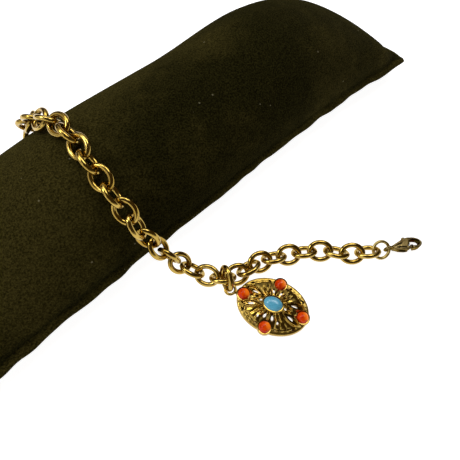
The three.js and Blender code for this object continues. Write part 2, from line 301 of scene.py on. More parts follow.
def new_object(name, mesh):
    made = bpy.data.objects.new(name, mesh)
    bpy.context.scene.collection.objects.link(made)
    return made


def object_of(name, places, faces):
    mesh = bpy.data.meshes.new(name)
    mesh.from_pydata([tuple(place) for place in places], [], [tuple(face) for face in faces])
    mesh.update()
    return new_object(name, mesh)


def smooth(piece, sharpest=180.0):
    """Shades a piece smooth, apart from its edges that turn by more than `sharpest` degrees."""
    piece.data.shade_smooth()
    if sharpest < 180.0:
        piece.data.set_sharp_from_angle(angle=math.radians(sharpest))
    return piece


def settled(piece):
    """Makes the piece's modified shape its own mesh."""
    evaluated = piece.evaluated_get(bpy.context.evaluated_depsgraph_get())
    mesh = bpy.data.meshes.new_from_object(evaluated)
    piece.modifiers.clear()
    piece.data = mesh
    mesh.name = piece.name
    return piece


def wears(piece, material):
    piece.data.materials.clear()
    piece.data.materials.append(material)
    return piece


def finished(piece, slot, body, *nodes):
    """Puts a piece on the body that it rides on, and hides the plain parts that it stands for. Its slot is
    not used.
    """
    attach(piece, body)
    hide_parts(*nodes)
    return piece


def joined(name, pieces):
    """One piece of several, each of which keeps its own shape."""
    together = bmesh.new()
    for piece in pieces:
        together.from_mesh(piece.data)
    mesh = bpy.data.meshes.new(name)
    together.to_mesh(mesh)
    together.free()
    for piece in pieces:
        bpy.data.objects.remove(piece)
    return new_object(name, mesh)


def solid_of(node, name, nearest_mm, four_sided=False):
    """A piece with a node's own solid, its corners merged where they are nearer than this."""
    shape = bmesh.new()
    shape.from_mesh(frame["nodes"][node].data)
    bmesh.ops.remove_doubles(shape, verts=shape.verts, dist=nearest_mm * MM)
    if four_sided:
        widest = {"angle_face_threshold": math.pi, "angle_shape_threshold": math.pi}
        bmesh.ops.join_triangles(shape, faces=shape.faces, cmp_seam=False, **widest)
    mesh = bpy.data.meshes.new(name)
    shape.to_mesh(mesh)
    shape.free()
    return new_object(name, mesh)


def places_of(piece):
    rows = np.zeros(len(piece.data.vertices) * 3, np.float32)
    piece.data.vertices.foreach_get("co", rows)
    return rows.reshape(-1, 3).astype(float)


def put_places(piece, rows):
    piece.data.vertices.foreach_set("co", np.asarray(rows, np.float32).ravel())
    piece.data.update()


def normals_of(piece):
    return np.array([vertex.normal for vertex in piece.data.vertices])


def painted(piece, paint):
    """Gives every place of a piece a value, or a row of three, for each of these names."""
    for name, values in paint.items():
        values = np.asarray(values, np.float32)
        kind, field = ("FLOAT", "value") if values.ndim == 1 else ("FLOAT_VECTOR", "vector")
        layer = piece.data.attributes.new(name, kind, "POINT")
        layer.data.foreach_set(field, values.ravel())
    return piece


def softened(piece, passes, group=""):
    """Rounds the facets off a piece, or off one group of its places."""
    soften = piece.modifiers.new("soften", "SMOOTH")
    soften.factor = 0.5
    soften.iterations = passes
    soften.vertex_group = group
    return settled(piece)


def ramp(value, start, end):
    """0 where the value is under `start`, 1 where it is over `end`, and a smooth ramp between."""
    share = np.clip((value - start) / (end - start), 0.0, 1.0)
    return share * share * (3 - 2 * share)


def turns(steps):
    """Evenly spaced bearings all the way round, in radians."""
    return np.arange(steps) / steps * 2 * math.pi


def within(share, edge):
    """1 where the share is well between 0 and 1, and 0 outside them."""
    return ramp(share, 0.0, edge) * ramp(1 - share, 0.0, edge)


def bell(value, width):
    """1 where the value is 0, falling away smoothly on both sides."""
    return np.exp(-((value / width) ** 2))


def corners(node):
    """The separate corners of a node, one row each."""
    places = np.array([vertex.co for vertex in frame["nodes"][node].data.vertices])
    return np.unique(np.round(places, 7), axis=0)


def unit(row):
    return np.asarray(row, float) / np.linalg.norm(row)


def matrix_of(origin, x, z):
    """The matrix that takes millimetres in a piece's own axes to its place in metres."""
    x = unit(x)
    y = unit(np.cross(z, x))
    z = np.cross(x, y)
    matrix = Matrix.Identity(4)
    for column, axis in enumerate((x, y, z)):
        for row in range(3):
            matrix[row][column] = axis[row] * MM
    matrix.translation = Vector(origin)
    return matrix


# ------------------------ chain and rings


def lie_of(places):
    """The middle of a ring, the way its long side runs and the way its flat side faces."""
    middle = places.mean(axis=0)
    axes = np.linalg.svd(places - middle, full_matrices=False)[2]
    return middle, axes[0], axes[2]


class Shaper(Maker):
    """A tree that shapes a piece. `named` is what its inputs are known by, and `given` their signals."""

    def __init__(self, name, **inputs):
        super().__init__(bpy.data.node_groups.new(name, "GeometryNodeTree"))
        self.tree.is_modifier = True
        self.named = {}
        for key, kind in {"Geometry": "Geometry", **inputs, "Finish": "Material"}.items():
            made = self.tree.interface.new_socket(key, in_out="INPUT", socket_type="NodeSocket" + kind)
            self.named[key] = made.identifier
        self.tree.interface.new_socket("Geometry", in_out="OUTPUT", socket_type="NodeSocketGeometry")
        entry = self.tree.nodes.new("NodeGroupInput")
        self.given = {key: Signal(self, entry.outputs[key]) for key in self.named}

    def shape(self, kind, settings=None, **inputs):
        return self.node("GeometryNode" + kind, settings, spaced(inputs))

    def row(self, x=0.0, y=0.0, z=0.0):
        return self.node("ShaderNodeCombineXYZ", inputs={0: x, 1: y, 2: z})

    def put_down(self, **inputs):
        """Puts the shape on every point, in its finish, and makes that the piece."""
        shapes = self.shape("InstanceOnPoints", **inputs)
        shapes = self.shape("RealizeInstances", Geometry=shapes)
        shapes = self.shape("SetMaterial", Geometry=shapes, Material=self.given["Finish"])
        self.node("NodeGroupOutput", inputs={0: shapes})
        return self


def ring_tree():
    """Puts an oval ring of round wire on every point, turned as the point says."""
    maker = Shaper("wire_rings", Length="Float", Width="Float", Wire="Float", Steps="Int", Sides="Int")
    given = maker.given
    circle = maker.shape("CurvePrimitiveCircle", Resolution=given["Steps"], Radius=0.5)
    length = given["Length"] - given["Wire"]
    width = given["Width"] - given["Wire"]
    oval = maker.shape("Transform", Geometry=circle, Scale=maker.row(length, width, 1.0))
    section = maker.shape("CurvePrimitiveCircle", Resolution=given["Sides"], Radius=given["Wire"] * 0.5)
    ring = maker.shape("CurveToMesh", Curve=oval, Profile_Curve=section)
    ring = maker.shape("SetShadeSmooth", Geometry=ring)
    of_rows = {"data_type": "FLOAT_VECTOR"}
    facing = maker.shape("InputNamedAttribute", of_rows, Name="facing")
    along = maker.shape("InputNamedAttribute", of_rows, Name="along")
    axes = {"primary_axis": "Z", "secondary_axis": "X"}
    turned = maker.node("FunctionNodeAxesToRotation", axes, {0: facing, 1: along})
    return maker.put_down(Points=given["Geometry"], Instance=ring, Rotation=turned)


def shaped(piece, maker, **values):
    modifier = piece.modifiers.new(maker.tree.name, "NODES")
    modifier.node_group = maker.tree
    for key, value in values.items():
        modifier[maker.named[key]] = value
    return settled(piece)


def wire_rings(name, lies, size, finish, steps=72, sides=20, scale=MM):
    """Rings of round wire, each given by its middle, the way it runs and the way it faces."""
    middles, alongs, facings = zip(*lies)
    piece = painted(object_of(name, middles, []), {"along": alongs, "facing": facings})
    sizes = {key.capitalize(): value * scale for key, value in size.items()}
    return shaped(piece, RING_TREE, **sizes, Steps=steps, Sides=sides, Finish=finish)


# ------------------------ cushion

PRESSURE = 20.0  # of the air inside, while the cloth is worked
FRAMES = 20
SWELL = 0.9  # how far the cloth may move from its pattern
NAP_REACH = 0.25  # the air between a link's wire and the cloth under it
PRESS = 1.2  # how far the cloth gives way, for each millimetre that it is too near
SEAM_HEIGHT = 8.0
CUSHION_MIDDLE = 30.4  # how far behind the origin its middle line lies

# How much the fuller end is lifted, the ends reach out, the corners are drawn in and are rounded.
ENDS = {"lift": 3.6, "reach": 2.4, "ear": -0.7, "ear_aside": 1.5, "corner": 3.0}
# Where the front seam bows out: the place along it, how wide the bow is, and how far out.
FRONT_BOWS = [(-12.0, 20.0, 0.9), (92.0, 14.0, 0.5), (-62.0, 18.0, 0.5)]
PAINTED_VELVET_LIGHT = {"lip": 0.4, "left": 0.36, "back": 0.10}  # painted light: how much paler the cloth is painted there
# The sewn lip: how far out it stands and waves, and the groove and the bead behind it.
LIP = {
    "out": 0.9, "wave": 0.45, "groove": 0.55, "groove_at": 2.9, "bead": 0.25, "bead_at": 1.2, "spread": 0.85,
}


def cushion_pattern():
    """The cushion's two panels from its plain solid, in four-sided faces, with its seam marked."""
    piece = solid_of("cushion", "velvet_cushion", 0.01, four_sided=True)
    heights = places_of(piece)[:, 2]
    return painted(piece, {"seam": np.abs(heights - SEAM_HEIGHT * MM) < 0.01 * MM})


def seam_share(piece):
    rows = np.zeros(len(piece.data.vertices), np.float32)
    piece.data.attributes["seam"].data.foreach_get("value", rows)
    return rows


def divided(piece, kind, levels):
    divide = piece.modifiers.new("divide", "SUBSURF")
    divide.subdivision_type = kind
    divide.levels = divide.render_levels = levels
    return settled(piece)


def rounded(piece, passes):
    """Rounds the facets off both panels, and leaves their seam where it is."""
    panels = piece.vertex_groups.new(name="panels")
    for index, share in enumerate(seam_share(piece)):
        if share < 0.99:
            panels.add([index], 1.0, "ADD")
    return softened(piece, passes, "panels")


def puff_up(piece, scale=10.0):
    """Blows the cloth up from inside. It is worked at ten times its size, where cloth is easier to settle."""
    pattern = places_of(piece)
    put_places(piece, pattern * scale)
    cloth = piece.modifiers.new("cloth", "CLOTH")
    cloth.settings.use_pressure = True
    cloth.settings.uniform_pressure_force = PRESSURE
    cloth.settings.effector_weights.gravity = 0.0
    cloth.settings.quality = 5
    cloth.settings.shrink_min = 0.0
    cloth.point_cache.frame_start = 1
    cloth.point_cache.frame_end = FRAMES
    for step in range(1, FRAMES + 1):
        bpy.context.scene.frame_set(step)
        bpy.context.view_layer.update()
    settled(piece)
    moved = places_of(piece) / scale - pattern
    reach = np.maximum(np.linalg.norm(moved, axis=1, keepdims=True), 1e-9)
    moved *= SWELL * MM * np.tanh(reach / (SWELL * MM)) / reach
    put_places(piece, pattern + moved)
    bpy.context.scene.frame_set(1)


def fill_ends(piece):
    """Fills the fuller end up, pushes both ends out, and draws the four corners in and aside."""
    x, y, z = places_of(piece).T / MM
    far = np.abs(x)
    side = np.abs(y - CUSHION_MIDDLE)
    upper = ramp(z, SEAM_HEIGHT, SEAM_HEIGHT + 6)
    z = z + ENDS["lift"] * ramp(x, 4, 50) * (1 - ramp(far, 95, 110)) * upper
    x = x + np.sign(x) * ENDS["reach"] * ramp(far, 78, 108)
    corner = ramp(far, 78, 110) * ramp(side, 8, 33)
    x = x + np.sign(x) * ENDS["ear"] * corner
    y = y + np.sign(y - CUSHION_MIDDLE) * ENDS["ear_aside"] * corner
    front = ramp(CUSHION_MIDDLE - y, 12, 32)
    for middle, width, out in FRONT_BOWS:
        y = y - out * front * bell(x - middle, width)
    x, y = round_corners(x, y - CUSHION_MIDDLE)
    put_places(piece, np.stack([x, y + CUSHION_MIDDLE, z], 1) * MM)


def round_corners(x, y):
    """Pulls the places beyond a round corner back onto it."""
    rounded_x, rounded_y = x.copy(), y.copy()
    for side_x, side_y in ((1, 1), (1, -1), (-1, 1), (-1, -1)):
        here = (x * side_x > 80) & (y * side_y > 0)
        across = np.maximum(x * side_x - (x[here] * side_x).max() + ENDS["corner"], 0.0)
        down = np.maximum(y * side_y - (y[here] * side_y).max() + ENDS["corner"], 0.0)
        reach = np.maximum(np.hypot(across, down), 1e-9)
        pull = np.where(here, np.minimum(1.0, ENDS["corner"] / reach) - 1, 0.0)
        rounded_x += side_x * across * pull
        rounded_y += side_y * down * pull
    return rounded_x, rounded_y


def waves(along):
    """The uneven run of a hand-sewn seam, from -1 to 1."""
    return 0.45 * np.sin(along * 0.33) + 0.35 * np.sin(along * 0.21 + 1.7) + 0.2 * np.sin(along * 0.57 + 0.6)


def sew_edge(piece):
    """Turns the rim of both panels into a sewn lip, with a groove behind it that pulls the cloth in, and
    paints light and shade on the cloth.
    """
    rows = places_of(piece) / MM
    normals = normals_of(piece)
    on_seam = seam_share(piece) > 0.99
    seam = rows[on_seam]
    near, distance = nearest(seam, rows)
    along = seam[near][:, 0] + 1.3 * seam[near][:, 1]
    level = np.stack([normals[:, 0], normals[:, 1], np.zeros(len(rows))], 1)
    level /= np.maximum(np.linalg.norm(level, axis=1, keepdims=True), 1e-6)
    edge = bell(distance, 1.1)[:, None]
    wave = waves(along)[:, None]
    rows += level * edge * (LIP["out"] + LIP["wave"] * wave)
    rows[:, 2] += (edge * LIP["wave"] * waves(along + 40.0)[:, None])[:, 0]
    groove = bell(distance - LIP["groove_at"], LIP["spread"])
    pull = -LIP["groove"] * (0.8 + 0.4 * wave[:, 0]) * groove
    pull = pull + LIP["bead"] * bell(distance - LIP["bead_at"], LIP["spread"])
    far_wave = bell(distance, 9.0) * waves(along * 1.2 + 9.0) * 0.3
    rows += normals * (pull + far_wave)[:, None]
    put_places(piece, rows * MM)
    # Painted light and shade: a paler sheen on the lip, painted shade in the groove behind it, and painted
    # light towards the left end, higher up and towards the back.
    lip = bell(distance, 1.9) - 0.7 * bell(distance - 3.2, 0.9)
    left = PAINTED_VELVET_LIGHT["left"] * ramp(-rows[:, 0], -10, 70) * ramp(rows[:, 2], 8, 30)
    back = PAINTED_VELVET_LIGHT["back"] * ramp(rows[:, 1], 20, 50)
    painted(piece, {"brushed_and_lit": PAINTED_VELVET_LIGHT["lip"] * lip + left + back})


def nearest(points, rows):
    """For each row, the number of the nearest point and how far it is."""
    tree = KDTree(len(points))
    for index, place in enumerate(points):
        tree.insert(place, index)
    tree.balance()
    found = [tree.find(place)[1:] for place in rows]
    return np.array([index for index, _ in found]), np.array([distance for _, distance in found])


def press_under_chain(piece, lies):
    """Moves the cloth away from the links that lie on it, and keeps it on the table."""
    rows = places_of(piece)
    _, distance = nearest(wire_points(lies), rows)
    short = (LINK["wire"] / 2 + NAP_REACH) * MM - distance
    rows[:, 2] -= np.maximum(short, 0.0) * PRESS
    rows[:, 2] = np.maximum(rows[:, 2], 0.0)
    put_places(piece, rows)


def wire_points(lies, steps=48):
    """Points along the centre lines of chain links."""
    turn = np.linspace(0, 2 * math.pi, steps, endpoint=False)[:, None]
    half_length = (LINK["length"] - LINK["wire"]) / 2 * MM
    half_width = (LINK["width"] - LINK["wire"]) / 2 * MM
    rows = []
    for middle, along, facing in lies:
        across = np.cross(facing, along)
        rows.append(middle + np.cos(turn) * half_length * along + np.sin(turn) * half_width * across)
    return np.concatenate(rows)


def make_cushion(lies, finish):
    piece = rounded(divided(cushion_pattern(), "SIMPLE", 2), 12)
    puff_up(piece)
    divided(piece, "CATMULL_CLARK", 1)
    fill_ends(piece)
    sew_edge(piece)
    press_under_chain(piece, lies)
    smooth(wears(piece, finish))
    return finished(piece, "velvet", HELD, "cushion")


# ------------------------ charm

CHARM = {"half_length": 12.1, "half_width": 9.0, "rim": 1.5, "rim_height": 3.0, "dome": 2.4, "bend": 0.8}
SHELL = {"rings": 98, "steps": 400, "wall": 1.0, "inner": 0.9}
# The rim from its widest line down to its foot and up inside again: how far in, and how high.
RIM_SIDE = [
    (-0.14, 2.2), (-0.22, 1.75), (-0.2, 1.3), (-0.05, 0.9), (0.35, 0.6),
    (1.0, 0.3), (2.2, 0.0), (3.0, 0.0), (2.8, 0.6),
]
RIM_ROUND = {"width": 1.3, "height": 0.4}
# The stones: half their size, the height of their straight girdle and of their dome, and what they lie on.
ROUND_STONE = {"half_length": 1.95, "half_width": 1.95, "girdle": 0.7, "dome": 1.9, "floor": 2.2}
OVAL_STONE = {"half_length": 3.15, "half_width": 2.3, "girdle": 0.6, "dome": 1.5, "floor": 4.8}
STONE_OUT = 10.3  # from the middle to the round stones at the bail and at the foot
STONE_ASIDE = 7.55  # from the middle to the round stones at the sides
ROUND_PLACES = {
    "orange_stone_1": (-STONE_OUT, 0.0),
    "orange_stone_2": (STONE_OUT, 0.0),
    "orange_stone_3": (0.0, -STONE_ASIDE),
    "orange_stone_4": (0.0, STONE_ASIDE),
}
OVAL_SEAT = (3.4, 2.6)  # half the length and the width of the hole under the oval stone
OVAL_SEAT_SIZE = 2.9  # what turns a share of that oval into millimetres
# The collars round the stones: how deep they reach and how high they stand.
ROUND_COLLAR = {"bottom": 1.0, "top": 3.35}
OVAL_COLLAR = {"bottom": 3.6, "top": 5.75}
# The oval line of beads round the oval stone, the size of a bead and how many there are.
BEAD_ROW = {"Length": 7.1, "Width": 5.4, "Height": 5.55, "Bead": 0.34, "Count": 52}
BAIL = {"length": 4.4, "width": 4.4, "wire": 0.95}
BAIL_AT = (-15.2, 0.0, 1.5)
STRAP_ROUNDNESS = 0.6  # 1 for a round section, less for one nearer a square
# The strap from the bail to the rim: the place along it, half its width and half its thickness.
STRAP = [(-13.5, 1.05, 0.42), (-13.0, 0.85, 0.42), (-12.5, 0.8, 0.45), (-11.9, 0.95, 0.5), (-11.3, 1.1, 0.55)]

# One quarter of the pattern on the dome, which is the same in all four. A leaf is given by its two tips, half
# its width, and how far along it is widest.
PETALS = [
    ((0.0, 2.1), (0.0, 5.3), 0.62, 0.45),
    ((1.35, 1.9), (2.9, 4.7), 0.55, 0.5),
    ((2.2, 1.75), (4.7, 4.4), 0.55, 0.5),
    ((4.6, 0.0), (8.7, 0.0), 0.95, 0.6),
]
PETAL_HEIGHT = 0.75
GROUND_SUNK = 0.36  # how far the ground inside the rim lies under the plain dome
LONG_LEAF = ((3.0, 1.25), (10.5, 3.0), 1.2, 0.56)
LEAF_SUNK = 0.30  # how deep the long leaf's floor is, inside the lip that runs round it
LEAF_LIP = 0.75
LEAF_SLOT = ((5.6, 1.85), (8.7, 2.55), 0.36, 0.5)
END_SLOT = ((3.7, 0.0), (5.1, 0.0), 0.36, 0.5)
PIERCED = [
    ((0.95, 3.5), (1.7, 5.4), 0.42, 0.55),
    ((3.1, 4.7), (4.0, 5.8), 0.40, 0.55),
    ((2.9, 6.9), (4.2, 7.7), 0.42, 0.6),
    ((8.0, 5.3), (9.6, 4.3), 0.42, 0.5),
]
# The fan of lobes in each quarter: its middle, the bearings that it spans in degrees, and its fine lines.
FAN = {"middle": (2.4, 1.6), "from": 22.0, "to": 86.0, "lobes": 3, "height": 0.29, "lines": 22}
WORN_SATIN = 0.25  # how much of its satin is left on the fans that rub against things
RIM_SATIN = 0.6
# The painted glow goes on the side of each clear stone that this way points to.
GLOW_WAY = (0.85, -0.5, 0.0)  # the way that the window's light runs on through the clear stones


def leaf(a, b, start, end, half_width, widest=0.5):
    """How far each place lies outside a pointed leaf, in millimetres: less than 0 inside it."""
    run = np.subtract(end, start)
    length = math.hypot(*run)
    ahead = run / length
    along = ((a - start[0]) * ahead[0] + (b - start[1]) * ahead[1]) / length
    across = np.abs((b - start[1]) * ahead[0] - (a - start[0]) * ahead[1])
    inside = np.clip(along, 0.0, 1.0) ** (math.log(0.5) / math.log(widest))
    share = np.where((along > 0) & (along < 1), inside, along)
    return across - half_width * 4 * share * (1 - share)


def oval_share(a, b):
    return np.hypot(a / CHARM["half_length"], b / CHARM["half_width"])


def plain_dome(a, b):
    """Height of the dome without its pattern, its rim's rounded edge included."""
    share = oval_share(a, b)
    inset = (1 - share) * CHARM["half_length"]
    inner = 1 - CHARM["rim"] / CHARM["half_length"]
    reach = np.minimum(1.0, share / inner)
    dome = CHARM["dome"] * (1 - reach**2) ** CHARM["bend"]
    fall = np.clip(1 - inset / RIM_ROUND["width"], 0.0, 1.0)
    edge = RIM_ROUND["height"] * (1 - np.sqrt(1 - np.minimum(fall, 0.999) ** 2.2))
    return CHARM["rim_height"] + dome - edge


def fan_parts(a, b):
    """For the fan in each quarter: how far across its span and out from its middle a place is."""
    x = np.abs(a) - FAN["middle"][0]
    y = np.abs(b) - FAN["middle"][1]
    bearing = np.degrees(np.arctan2(y, np.maximum(x, 1e-6)))
    share = (bearing - FAN["from"]) / (FAN["to"] - FAN["from"])
    return share, np.hypot(x, y)


def rim_line(a, b):
    """How far inside the rim's scalloped inner line a place is, in millimetres."""
    share, _ = fan_parts(a, b)
    scallop = np.sin(math.pi * FAN["lobes"] * np.clip(share, 0, 1)) ** 2
    line = 0.86 + 0.015 * scallop
    return (line - oval_share(a, b)) * CHARM["half_length"]


def petals(a, b):
    """Height of the raised leaves round the oval stone, and 0 away from them."""
    raised = np.zeros_like(a)
    for start, end, half_width, widest in PETALS:
        depth = -leaf(a, b, start, end, half_width, widest)
        raised = np.maximum(raised, PETAL_HEIGHT * np.sqrt(np.clip(depth / half_width, 0.0, 1.0)))
    return raised


def pattern(a, b):
    """Height of the chased pattern over the plain dome, and its hollow, satin and fine-line shares."""
    quarter_a, quarter_b = np.abs(a), np.abs(b)
    share, out = fan_parts(a, b)
    inward = rim_line(a, b)
    in_fan = within(share, 0.06) * ramp(out, 1.6, 2.6) * ramp(inward, 0.1, 0.8)
    lobe = np.abs(np.sin(math.pi * FAN["lobes"] * np.clip(share, 0, 1)))
    height = -GROUND_SUNK * ramp(inward, -0.1, 0.5)
    height = height + in_fan * FAN["height"] * lobe * ramp(out, 1.5, 5.0)
    # Tarnish and painted shade: the sunk ground inside the rim, between the fans, is darkened.
    hollow = 0.5 * ramp(inward, 0.0, 0.5) * (1 - in_fan)
    satin = in_fan * ramp(lobe, 0.2, 0.5)
    raised = petals(quarter_a, quarter_b)
    depth = -leaf(quarter_a, quarter_b, *LONG_LEAF)
    lip = bell(depth - 0.12, 0.27)
    in_leaf = ramp(depth, -0.25, 0.2)
    height = height * (1 - in_leaf) - LEAF_SUNK * ramp(depth, 0.1, 0.6) + LEAF_LIP * lip
    height = np.maximum(height, raised - 0.25 * (raised > 0) + np.where(raised > 0, 0.0, -9.0))
    height = height + 0.2 * bell(leaf(quarter_a, quarter_b, *END_SLOT) - 0.1, 0.2)
    # The long leaf's floor is darkened more, as tarnish and painted shade, apart from its lip and the raised
    # leaves.
    hollow = np.where(depth > 0.25, 0.6, hollow) * (1 - ramp(raised, 0.1, 0.3)) * (1 - lip)
    satin = satin * (1 - ramp(raised, 0.0, 0.2)) * (1 - ramp(depth, -0.3, 0.0))
    satin = satin * np.where((a < 0) & (b > 0), 1.0, WORN_SATIN)
    satin = np.maximum(satin, RIM_SATIN * (1 - ramp(inward, -0.2, 0.2)))
    lines = 0.5 + 0.5 * np.sin(2 * math.pi * FAN["lines"] * share)
    tilt = 0.035 * np.sin(2.9 * a + 1.3 * b + 0.7) * np.sin(2.3 * b - 1.1 * a)
    return height + tilt, np.clip(hollow, 0, 1), np.clip(satin, 0, 1), lines * np.clip(satin, 0, 1)


def openings(a, b):
    """How far each place is from the nearest opening through the shell, less than 0 inside one."""
    quarter_a, quarter_b = np.abs(a), np.abs(b)
    shapes = [LEAF_SLOT, END_SLOT, *PIERCED]
    gaps = [leaf(quarter_a, quarter_b, *shape) for shape in shapes]
    seat = ROUND_STONE["half_length"] + 0.2
    gaps.append(np.hypot(quarter_a - STONE_OUT, quarter_b) - seat)
    gaps.append(np.hypot(quarter_a, quarter_b - STONE_ASIDE) - seat)
    gaps.append((np.hypot(a / OVAL_SEAT[0], b / OVAL_SEAT[1]) - 1) * OVAL_SEAT_SIZE)
    return np.minimum.reduce(gaps)


def shell_grid():
    """Places over the oval, as rings round its middle: rows of (ring, step)."""
    rings, steps = SHELL["rings"], SHELL["steps"]
    share = (np.arange(1, rings + 1) / rings)[:, None]
    turn = turns(steps)[None, :]
    a = CHARM["half_length"] * share * np.cos(turn)
    b = CHARM["half_width"] * share * np.sin(turn)
    return a, b


def kept_faces(a, b):
    """The four-sided faces of the grid that lie outside every opening, as rows of place numbers."""
    rings, steps = a.shape
    ring, step = np.meshgrid(np.arange(rings - 1), np.arange(steps), indexing="ij")
    after = (step + 1) % steps
    low, high = ring * steps, (ring + 1) * steps
    faces = np.stack([low + step, high + step, high + after, low + after], -1).reshape(-1, 4)
    middle_a = a.ravel()[faces].mean(1)
    middle_b = b.ravel()[faces].mean(1)
    return faces[openings(middle_a, middle_b) > 0]


def border_edges(faces):
    """The directed edges that only one face has."""
    edges = np.concatenate([faces[:, [k, (k + 1) % 4]] for k in range(4)])
    key = np.sort(edges, 1)
    _, first, count = np.unique(key, axis=0, return_index=True, return_counts=True)
    return edges[first[count == 1]]


def pull_to_openings(a, b, faces):
    """Moves the places on the cut edges onto the true outline of their opening."""
    a, b = a.ravel().copy(), b.ravel().copy()
    steps = SHELL["steps"]
    outer = len(a) - steps
    on_border = np.unique(border_edges(faces))
    on_border = on_border[on_border < outer]
    tiny = 0.01
    for _ in range(4):
        x, y = a[on_border], b[on_border]
        gap = openings(x, y)
        slope_a = (openings(x + tiny, y) - openings(x - tiny, y)) / (2 * tiny)
        slope_b = (openings(x, y + tiny) - openings(x, y - tiny)) / (2 * tiny)
        steep = np.maximum(slope_a**2 + slope_b**2, 0.3)
        step = np.clip(gap / steep, -0.12, 0.12)
        a[on_border] -= step * slope_a
        b[on_border] -= step * slope_b
    return a, b


def evened(height, passes=2):
    """Heights over the shell's grid with the smallest unevenness taken off."""
    grid = height.reshape(SHELL["rings"], SHELL["steps"])
    for _ in range(passes):
        grid = (np.roll(grid, 1, axis=1) + 2 * grid + np.roll(grid, -1, axis=1)) / 4
        grid[1:-1] = (grid[:-2] + 2 * grid[1:-1] + grid[2:]) / 4
    return grid.ravel()


def rim_side(count):
    """The rim's rings of places, and the faces over them from the shell's face round to its back."""
    steps = SHELL["steps"]
    rows, faces = [], []
    last = np.arange(count - steps, count)
    turn = turns(steps)
    for index, (inset, rise) in enumerate(RIM_SIDE):
        half_length = CHARM["half_length"] - inset
        half_width = CHARM["half_width"] - inset
        ring = [half_length * np.cos(turn), half_width * np.sin(turn), np.full(steps, rise)]
        rows.append(np.stack(ring, 1))
        here = np.arange(steps) + 2 * count + index * steps
        faces.append(band(last, here))
        last = here
    faces.append(band(last, np.arange(2 * count - steps, 2 * count)))
    return rows, faces


def band(low, high):
    """The four-sided faces between two rings of place numbers."""
    return np.stack([low, high, np.roll(high, -1), np.roll(low, -1)], 1)


def shell_mesh():
    """The charm's pierced shell: its face, its back, the walls of its openings and its rim."""
    grid_a, grid_b = shell_grid()
    faces = kept_faces(grid_a, grid_b)
    a, b = pull_to_openings(grid_a, grid_b, faces)
    count, inner = len(a), SHELL["inner"]
    height, hollow, satin, lines = pattern(a, b)
    face_places = np.stack([a, b, plain_dome(a, b) + evened(height)], 1)
    back_places = np.stack([a * inner, b * inner, plain_dome(a, b) - SHELL["wall"]], 1)
    side_places, side_faces = rim_side(count)
    border = border_edges(faces)
    border = border[(border < count - SHELL["steps"]).any(1)]
    walls = np.stack([border[:, 1], border[:, 0], border[:, 0] + count, border[:, 1] + count], 1)
    every = np.concatenate([faces, faces[:, ::-1] + count, walls, *side_faces])
    extra = len(RIM_SIDE) * SHELL["steps"]
    # The shell's back is painted half dark all over, as shade inside the shell; the rim's side is not
    # darkened.
    paint = {
        "hollow": np.concatenate([hollow, np.full(count, 0.5), np.zeros(extra)]),
        "satin": np.concatenate([satin, np.zeros(count), np.full(extra, RIM_SATIN)]),
        "flutes": np.concatenate([lines, np.zeros(count + extra)]),
    }
    return np.concatenate([face_places, back_places, *side_places]), every, paint


def tidy(piece):
    """Drops places that no face uses, and turns every face outwards."""
    shape = bmesh.new()
    shape.from_mesh(piece.data)
    loose = [vertex for vertex in shape.verts if not vertex.link_faces]
    bmesh.ops.delete(shape, geom=loose, context="VERTS")
    bmesh.ops.recalc_face_normals(shape, faces=shape.faces)
    shape.to_mesh(piece.data)
    shape.free()
    return piece


def ring_faces(low, high, steps):
    """The four-sided faces between two rings of places, each given by the number of its first place."""
    return [(low + k, low + (k + 1) % steps, high + (k + 1) % steps, high + k) for k in range(steps)]


def lathe(name, profile, half_length, half_width, centre, steps=64):
    """A closed turned shape on an oval. A profile row is how far past the oval's edge, and how high.

    The first and the last rows lie on the axis.
    """
    turn = turns(steps)
    places = [(centre[0], centre[1], profile[0][1])]
    for out, rise in profile[1:-1]:
        x = centre[0] + (half_length + out) * np.cos(turn)
        y = centre[1] + (half_width + out) * np.sin(turn)
        places.extend(zip(x, y, np.full(steps, rise)))
    places.append((centre[0], centre[1], profile[-1][1]))
    faces = [(0, 1 + (k + 1) % steps, 1 + k) for k in range(steps)]
    rings = len(profile) - 2
    for ring in range(rings - 1):
        faces += ring_faces(1 + ring * steps, 1 + (ring + 1) * steps, steps)
    top = 1 + (rings - 1) * steps
    faces += [(top + k, top + (k + 1) % steps, len(places) - 1) for k in range(steps)]
    return smooth(tidy(object_of(name, places, faces)), 40)


def cabochon(name, size, matrix, centre=(0.0, 0.0), rounds=14):
    """A polished stone: a flat back, a short straight girdle and a round dome."""
    floor, dome = size["floor"], size["dome"]
    shoulder = floor + size["girdle"]
    profile = [(0, floor), (-0.15, floor), (0.0, floor + 0.12)]
    least = min(size["half_length"], size["half_width"])
    for k in range(rounds):
        turn = k / rounds * math.pi / 2
        profile.append((-least * (1 - math.cos(turn)), shoulder + dome * math.sin(turn)))
    profile.append((0, shoulder + dome))
    stone = smooth(lathe(name, profile, size["half_length"], size["half_width"], centre))
    stone.data.transform(matrix)
    return stone


def bezel(name, stone, collar, centre=(0.0, 0.0), wall=0.42):
    """The thin collar that holds a stone, leaning in over its edge, with a closed floor under it."""
    bottom, top = collar["bottom"], collar["top"]
    floor = stone["floor"]
    profile = [
        (0, bottom), (0.15 + wall, bottom), (0.12 + wall, floor), (0.06 + wall, top - 0.35),
        (wall - 0.04, top - 0.08), (wall - 0.18, top), (0.02, top - 0.05), (-0.06, top - 0.2),
        (0.06, top - 0.4), (0.06, floor - 0.1), (0, floor - 0.1),
    ]
    return lathe(name, profile, stone["half_length"], stone["half_width"], centre)


